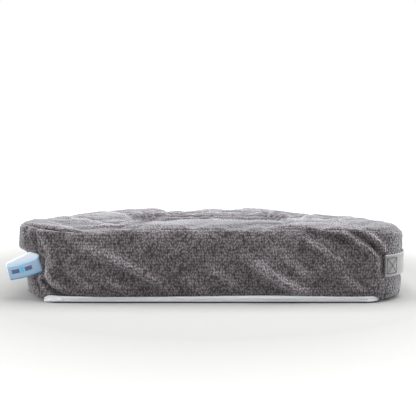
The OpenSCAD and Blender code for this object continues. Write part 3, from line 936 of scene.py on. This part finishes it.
def foam_ring(name, node, inset, z0, z1, material, hole):
    """A foam slab in the pad's outline with eased edges, with or without the sunken centre cut out."""
    ease, steps = 2 * MM, 6
    side = CORNER - inset
    profile = [(side - ease, z1), (side, z1 - ease)]
    profile += [(side, z1 - ease + (z0 - z1 + 2 * ease) * i / steps) for i in range(1, steps)]
    profile += [(side, z0 + ease), (side - ease, z0)]
    levels = [(STRAIGHT_X, STRAIGHT_Y, radius, z) for radius, z in profile]
    if hole:
        wall = [(ease, z0), (0, z0 + ease), (0, WELL_FLOOR - 9 * MM), (5 * MM, WELL_FLOOR),
                (6 * MM, z1 - 12 * MM), (9 * MM, z1 - 7 * MM), (15 * MM, z1 - 4 * MM)]
        levels += [(WELL_X, WELL_Y, hole + back, z) for back, z in wall]
        levels += [(WELL_X + (STRAIGHT_X - WELL_X) * t, WELL_Y + (STRAIGHT_Y - WELL_Y) * t,
                    hole + (side - hole) * t, z1) for t in (0.2, 0.4, 0.6, 0.8)]
    bm = bmesh.new()
    spots = stations()
    if hole:
        sweep(bm, [[follow(around(spot, *level)) for level in levels] for spot in spots], closed=True)
    else:
        sweep(bm, [[follow(around(spot, *level)) for spot in spots] for level in levels])
    obj = new_object(name, bm)
    obj.data.set_sharp_from_angle(angle=math.radians(50))
    finish_piece(obj, "pad", material, [node])
    return obj


def make_core():
    firm = foam_finish("firm_foam", (0.30, 0.42, 0.52), (0.50, 0.62, 0.72), 900.0)
    soft = foam_finish("soft_foam", (0.66, 0.56, 0.34), (0.88, 0.80, 0.60), 700.0)
    liner = woven_finish("liner_cloth", (0.62, 0.63, 0.64), (0.85, 0.86, 0.88), 900, 0.8, 0.0001)
    elastic = woven_finish("ribbed_elastic", (0.60, 0.60, 0.60), (0.86, 0.86, 0.85), 500, 0.7, 0.0003)
    base_low, base_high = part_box("base_foam")
    ring_low, ring_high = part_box("surround_foam")
    inset = HALF_W - ring_high.x
    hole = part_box("relief_foam")[1].x - WELL_X + 0.3 * MM
    foam_ring("base_slab", "base_foam", inset, base_low.z, base_high.z, firm, 0)
    foam_ring("surround_ring", "surround_foam", inset + 1 * MM, ring_low.z, ring_high.z - 2 * MM,
              firm, hole)
    softened("relief_foam", "relief_blocks", "pad", soft, 1.6 * MM)
    make_lower_liner(liner)
    return liner, elastic


def make_lower_liner(cloth):
    """The liner's lower half, drawn in at the left front corner with the foam."""
    obj = softened("liner_lower", "liner_bottom_half", "pad", cloth, 0.2 * MM)
    bm = bmesh.new()
    bm.from_mesh(obj.data)
    low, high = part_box("liner_lower")
    levels = 7
    for i in range(1, levels):
        cut = (0, 0, low.z + (high.z - low.z) * i / levels)
        every = list(bm.verts) + list(bm.edges) + list(bm.faces)
        bmesh.ops.bisect_plane(bm, geom=every, plane_co=cut, plane_no=(0, 0, 1))
    for vert in bm.verts:
        vert.co = follow(vert.co)
    bm.to_mesh(obj.data)
    bm.free()


def lining(whole, depth):
    """A layer that lies a little inside the cover and follows its folds, without the small puckers."""
    bm = bmesh.new()
    bm.from_mesh(whole.data)
    axes = {"use_axis_x": True, "use_axis_y": True, "use_axis_z": True}
    for _ in range(7):
        bmesh.ops.smooth_vert(bm, verts=bm.verts, factor=0.5, **axes)
    bm.normal_update()
    for vert in bm.verts:
        vert.co -= vert.normal * depth
    return bm


def make_upper_liner(whole, cloth):
    """The liner's upper half lies just inside the cover."""
    bm = lining(whole, PLUSH + 4.5 * MM)
    place = bm.verts.layers.float_vector["rest_place"]
    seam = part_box("liner_upper")[0].z
    below = [f for f in bm.faces if any(v[place].z < seam for v in f.verts)]
    bmesh.ops.delete(bm, geom=below, context="FACES")
    obj = new_object("liner_top_half", bm)
    thicken(obj, 0.8 * MM)
    finish_piece(obj, "pad", cloth, ["liner_upper"])


def make_elastic(whole, ribbed):
    """The elastic that gathers the cover runs round the well's rim, between plush and liner."""
    bm = lining(whole, PLUSH + 3 * MM)
    order = bm.verts.layers.float["ring"]
    first, last = WELL_RING + 1, WELL_RING + 4
    beyond = [f for f in bm.faces if any(not first <= v[order] <= last for v in f.verts)]
    bmesh.ops.delete(bm, geom=beyond, context="FACES")
    obj = new_object("gathering_elastic", bm)
    thicken(obj, 0.9 * MM)
    finish_piece(obj, "pad", ribbed, ["well_elastic"])


# ---- the zip ----------------------------------------------------------------------------
def coil_row(node, name, nylon):
    """A row of nylon coil turns along the straight stretch, each a rounded hook lying on the tape."""
    low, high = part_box(node)
    pitch = 1.5 * MM
    count = int((high.x - low.x) / pitch)
    size = high - low
    bm = bmesh.new()
    bmesh.ops.create_cube(bm, size=1)
    bmesh.ops.scale(bm, vec=(0.66 * pitch, CORNER_COIL_T, size.z), verts=bm.verts)
    bmesh.ops.bevel(bm, geom=list(bm.edges), offset=0.28 * MM, segments=1, profile=0.5, affect="EDGES",
                    material=-1)
    first = list(bm.verts) + list(bm.edges) + list(bm.faces)
    start = Vector((low.x + pitch / 2, -HALF_D + COIL_INSET + CORNER_COIL_T / 2, (low.z + high.z) / 2))
    lean = 1 if "upper" in node else -1
    bmesh.ops.rotate(bm, verts=bm.verts, matrix=Matrix.Rotation(lean * math.radians(8), 3, "Y"))
    bmesh.ops.translate(bm, verts=bm.verts, vec=start)
    for i in range(1, count):
        copy = bmesh.ops.duplicate(bm, geom=first)["geom"]
        verts = [g for g in copy if isinstance(g, bmesh.types.BMVert)]
        bmesh.ops.translate(bm, verts=verts, vec=(i * pitch, 0, 0))
        for vert in verts:
            reach = abs(vert.co.x) - STRAIGHT_X
            if reach > 0:
                vert.co.y += CORNER - math.sqrt(CORNER ** 2 - reach ** 2)
    obj = new_object(name, bm)
    return finish_piece(obj, "pad", nylon, [node])


def make_zip():
    tape = woven_finish("zip_tape_weave", (0.84, 0.86, 0.90), (0.96, 0.97, 1.0), 700, 0.7, 0.0002)
    nylon = moulded_finish("coil_nylon", (0.95, 0.96, 0.97), (0.86, 0.87, 0.90), 0.4)
    enamel = moulded_finish("white_enamel", (0.70, 0.71, 0.73), (0.56, 0.57, 0.59), 0.35)
    softened("zip_tape_upper", "zip_upper_tape", "pad", tape, 0.12 * MM)
    softened("zip_tape_lower", "zip_lower_tape", "pad", tape, 0.12 * MM)
    coil_row("zip_coil_upper", "zip_upper_teeth", nylon)
    coil_row("zip_coil_lower", "zip_lower_teeth", nylon)
    softened("zip_top_stops", "zip_closed_stops", "pad", enamel, 0.2 * MM)
    softened("zip_bottom_stop", "zip_open_stop", "pad", enamel, 0.2 * MM)
    softened("zip_slider", "slider_body", "slider", enamel, 0.18 * MM)
    softened("zip_pull", "pull_tab", "pull", enamel, 0.15 * MM)


# ---- base cloth -------------------------------------------------------------------------
def make_base():
    """The dark base cloth, turned up a little at the corners with the cover; its near-black colour is partly
    its own and partly painted contact shadow along the bottom edge.
    """
    # Near-black: partly the cloth's own dark colour, partly painted shadow for the dark line under the hem.
    cloth = woven_finish("base_cloth", (0.010, 0.009, 0.010), (0.035, 0.032, 0.034), 800, 0.85, 0.0002)
    bm = bmesh.new()
    spots = stations()
    inner = 60 * MM
    levels = [(inner, 0), (30 * MM, 0), (12 * MM, 0), (3 * MM, 0), (1.0 * MM, 0), (0.3 * MM, 0.5 * MM),
              (0, 1.2 * MM), (0.3 * MM, 2.0 * MM), (1.1 * MM, 2.4 * MM), (2.0 * MM, BASE), (12 * MM, BASE),
              (30 * MM, BASE), (inner, BASE)]
    sections = []
    for inset, z in levels:
        section = []
        for spot in spots:
            co = around(spot, STRAIGHT_X, STRAIGHT_Y, CORNER - inset, z)
            out = Vector((math.cos(spot[2]), math.sin(spot[2]), 0))
            s = run_round(around(spot, STRAIGHT_X, STRAIGHT_Y, CORNER, 0))
            near_edge = 1 - smooth(inset, 0, 45 * MM)
            lift = corner_lift(s) * smooth(abs(s), STRAIGHT_X, STRAIGHT_X + 40 * MM)
            edge_in = (0.6 if abs(s) < SEAM_S else 4.2) * MM
            co.z += lift * near_edge
            co -= out * (lift * 0.9 + edge_in - label_pinch(s, 0)) * near_edge
            section.append(co)
        sections.append(section)
    sweep(bm, sections)
    obj = new_object("base_panel", bm)
    finish_piece(obj, "pad", cloth, ["cover_base"])


# ---- label ------------------------------------------------------------------------------
def ribbon(name, path, ups, width, thickness, cross=8):
    """A flat band along a path. ups are the directions across its width. Its UV map is in metres."""
    bm = bmesh.new()
    sections, runs = [], [0.0]
    for i, (point, up) in enumerate(zip(path, ups)):
        ahead = path[min(i + 1, len(path) - 1)] - path[max(i - 1, 0)]
        out = ahead.cross(up).normalized()
        across = up.normalized()
        if i:
            runs.append(runs[-1] + (point - path[i - 1]).length)
        half_w, half_t = width / 2, thickness / 2
        steps = [half_w * (2 * j / cross - 1) for j in range(cross + 1)]
        front = [point + across * w + out * half_t for w in steps]
        back = [point + across * w - out * half_t for w in reversed(steps)]
        sections.append(front + back)
    sweep(bm, sections)
    uv = bm.loops.layers.uv.new("UVMap")
    where = {}
    steps = [width * (j / cross - 0.5) for j in range(cross + 1)]
    across = steps + steps[::-1]
    for i, section in enumerate(sections):
        for j, co in enumerate(section):
            where[tuple(round(c, 7) for c in co)] = (runs[i], across[j])
    for face in bm.faces:
        for loop in face.loops:
            loop[uv].uv = where.get(tuple(round(c, 7) for c in loop.vert.co), (0, 0))
    obj = new_object(name, bm)
    return obj, runs[-1]


def make_label():
    """A ribbon folded into a loop, its ends caught in the left front seam. The rear ply fans upwards."""
    satin = label_finish()
    width, length, thickness = 25 * MM, 46 * MM, 0.6 * MM
    seam_x = -STRAIGHT_X - CORNER * math.sin(SEAM_ANGLE)
    seam_y = -STRAIGHT_Y - CORNER * math.cos(SEAM_ANGLE)
    away = Vector((-1, 0.08, -0.30)).normalized()
    up = Vector((-0.30, 0, 1)).normalized()
    back = away.cross(up).normalized()
    if back.y < 0:
        back = -back
    root = Vector((seam_x + 4 * MM, seam_y + 6 * MM, LABEL_Z + 1.5 * MM))
    path, ups = [], []
    reach = length + 12 * MM
    plies = 16
    for i in range(plies + 1):
        t = i / plies
        sag = -2.0 * MM * math.sin(math.pi * t)
        path.append(root + away * reach * t + up * sag)
        ups.append((up + back * 0.10 * t).normalized())
    fold = 7
    gap = 2.2 * MM
    for i in range(1, fold):
        a = math.pi * i / fold
        path.append(root + away * (reach + gap * math.sin(a)) + back * gap * (1 - math.cos(a))
                    + up * 6.5 * MM * i / fold)
        ups.append((up + back * 0.12).normalized())
    for i in range(plies + 1):
        t = i / plies
        fan = 5 * MM + 9 * MM * t
        path.append(root + away * reach * (1 - t) + back * (2 * gap + 3 * MM * math.sin(math.pi * t))
                    + up * (1.5 * MM + fan))
        ups.append((up + back * 0.15 + away * -0.18 * t).normalized())
    obj, run = ribbon("side_label_loop", path, ups, width, thickness)
    finish_piece(obj, "pad", satin, ["side_label"])


# ---- strap ------------------------------------------------------------------------------
def strap_plan(steps_arc=14, steps_bow=44):
    """Plan points of the front half of the strap's middle line, from its sewn end to mid-side."""
    points = []
    for i in range(steps_arc):
        a = SEWN_FROM + (SEWN_TO - SEWN_FROM) * i / steps_arc
        points.append((STRAIGHT_X + STRAP_R * math.sin(a), -STRAIGHT_Y - STRAP_R * math.cos(a)))
    lead_x = STRAIGHT_X + STRAP_R * math.sin(SEWN_TO)
    lead_y = STRAIGHT_Y + STRAP_R * math.cos(SEWN_TO)
    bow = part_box("strap_grip")[1].x - WEB_T / 2 - lead_x
    power = 1.02 * lead_y * math.cos(SEWN_TO) / (math.sin(SEWN_TO) * bow)
    for i in range(steps_bow + 1):
        y = -lead_y * (1 - i / steps_bow)
        points.append((lead_x + bow * (1 - (abs(y) / lead_y) ** power), y))
    return points


def half_strap(name, mirror, nodes, material):
    """Half of the webbing strap: two rolled edges and a flat middle."""
    plan = strap_plan()
    bm = bmesh.new()
    half_w, half_t, roll = WEB_W / 2, WEB_T / 2, 1.1 * MM
    face = half_t * 0.8
    outline = [(-half_w, 0), (-half_w + 0.7 * MM, roll), (-half_w + 2.4 * MM, roll)]
    outline += [(-half_w + 3.6 * MM, face)]
    outline += [(-8 * MM, face), (0, face), (8 * MM, face)]
    outline += [(-z, t) for z, t in reversed(outline[:4])]
    outline += [(half_w - 1 * MM, -half_t), (0, -half_t), (-half_w + 1 * MM, -half_t)]
    sections = []
    for i, (x, y) in enumerate(plan):
        ahead = Vector(plan[min(i + 1, len(plan) - 1)]) - Vector(plan[max(i - 1, 0)])
        out = Vector((ahead.y, -ahead.x)).normalized()
        wave = noise.noise(Vector((y * 30, 2.2, 0))) * 0.5 * MM * smooth(i, 12, 20)
        sections.append([Vector((x + out.x * t, y + out.y * t, STRAP_Z + z + wave)) for z, t in outline])
    sweep(bm, sections)
    if mirror:
        bmesh.ops.mirror(bm, geom=list(bm.verts) + list(bm.edges) + list(bm.faces), axis="Y", merge_dist=0)
        bmesh.ops.delete(bm, geom=[v for v in bm.verts if v.co.y < -1e-6], context="VERTS")
    bmesh.ops.recalc_face_normals(bm, faces=bm.faces)
    obj = new_object(name, bm)
    finish_piece(obj, None, material, nodes)
    sign = 1 if mirror else -1
    bend_x, bend_from, bend_to = 0.33, 0.205, 0.115
    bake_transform(obj, "pad", "carry_handle", start=(bend_x, sign * bend_from, STRAP_Z),
             end=(bend_x, sign * bend_to, STRAP_Z))


def stitch_box(name, mirror, nodes, material):
    """Box and cross of thread stitches over the strap's sewn end."""
    inset, gap, length, thick = 5 * MM, 3.6 * MM, 3.3 * MM, 0.75 * MM
    half_s = STRAP_R * (SEWN_TO - SEWN_FROM) / 2 - inset
    half_z = WEB_W / 2 - inset - 0.8 * MM
    middle = (SEWN_TO + SEWN_FROM) / 2
    corners = [(-half_s, -half_z), (half_s, -half_z), (half_s, half_z), (-half_s, half_z)]
    lines = [(corners[i], corners[(i + 1) % 4]) for i in range(4)]
    lines += [(corners[0], corners[2]), (corners[1], corners[3])]
    bm = bmesh.new()
    for (s0, z0), (s1, z1) in lines:
        run = math.hypot(s1 - s0, z1 - z0)
        count = int(run / gap)
        for i in range(count):
            t = (i + 0.5) / count
            s, z = s0 + (s1 - s0) * t, z0 + (z1 - z0) * t
            a = middle + s / STRAP_R
            out = Vector((math.sin(a), -math.cos(a), 0))
            along = Vector((math.cos(a), math.sin(a), 0)) * (s1 - s0) + Vector((0, 0, z1 - z0))
            along.normalize()
            frame_axes = Matrix((along, out.cross(along), out)).transposed().to_4x4()
            on_top = STRAP_R + WEB_T * 0.5 + 0.25 * MM
            centre = Vector((STRAIGHT_X, -STRAIGHT_Y, STRAP_Z + z)) + out * on_top
            shape = Matrix.Diagonal((length / 2, thick, thick * 0.8, 1))
            bmesh.ops.create_icosphere(bm, subdivisions=1, radius=1,
                                       matrix=Matrix.Translation(centre) @ frame_axes @ shape)
    if mirror:
        bmesh.ops.scale(bm, vec=(1, -1, 1), verts=bm.verts)
        bmesh.ops.reverse_faces(bm, faces=bm.faces)
    return finish_piece(new_object(name, bm), "pad", material, nodes)


def make_strap():
    webbing = strap_finish()
    thread = woven_finish("stitch_thread", (0.008, 0.008, 0.009), (0.03, 0.03, 0.03), 1500, 0.7, 0.0001)
    patch = woven_finish("backing_tape", (0.04, 0.04, 0.04), (0.12, 0.12, 0.12), 700, 0.85, 0.0002)
    half_strap("strap_front_half", False, ["strap_front_end", "strap_front_lead", "strap_grip"], webbing)
    half_strap("strap_rear_half", True, ["strap_rear_lead", "strap_rear_end"], webbing)
    stitch_box("front_box_stitching", False, ["strap_front_stitching"], thread)
    stitch_box("rear_box_stitching", True, ["strap_rear_stitching"], thread)
    softened("strap_front_patch", "front_backing_patch", "pad", patch, 0.2 * MM)
    softened("strap_rear_patch", "rear_backing_patch", "pad", patch, 0.2 * MM)


# ---- everything -------------------------------------------------------------------------
make_camera()
make_world()
make_floor()
make_light("overhead", (0.22, -0.05, 1.5), (0, 0, 0), (1.5, 1.5), 56)
make_light("front_fill", (0, -2.2, 0.8), (0, -0.24, 0.05), (1.6, 0.8), 18.5)
make_light("left_side", (-1.7, -0.3, 0.8), (-0.2, -0.1, 0.08), (1.0, 1.0), 43)
make_light("right_side", (1.7, -0.3, 0.8), (0.2, -0.1, 0.08), (1.0, 1.0), 33)
liner_cloth, ribbed_elastic = make_core()
make_zip()
make_base()
make_cover(plush_finish(), liner_cloth, ribbed_elastic)
make_label()
make_strap()
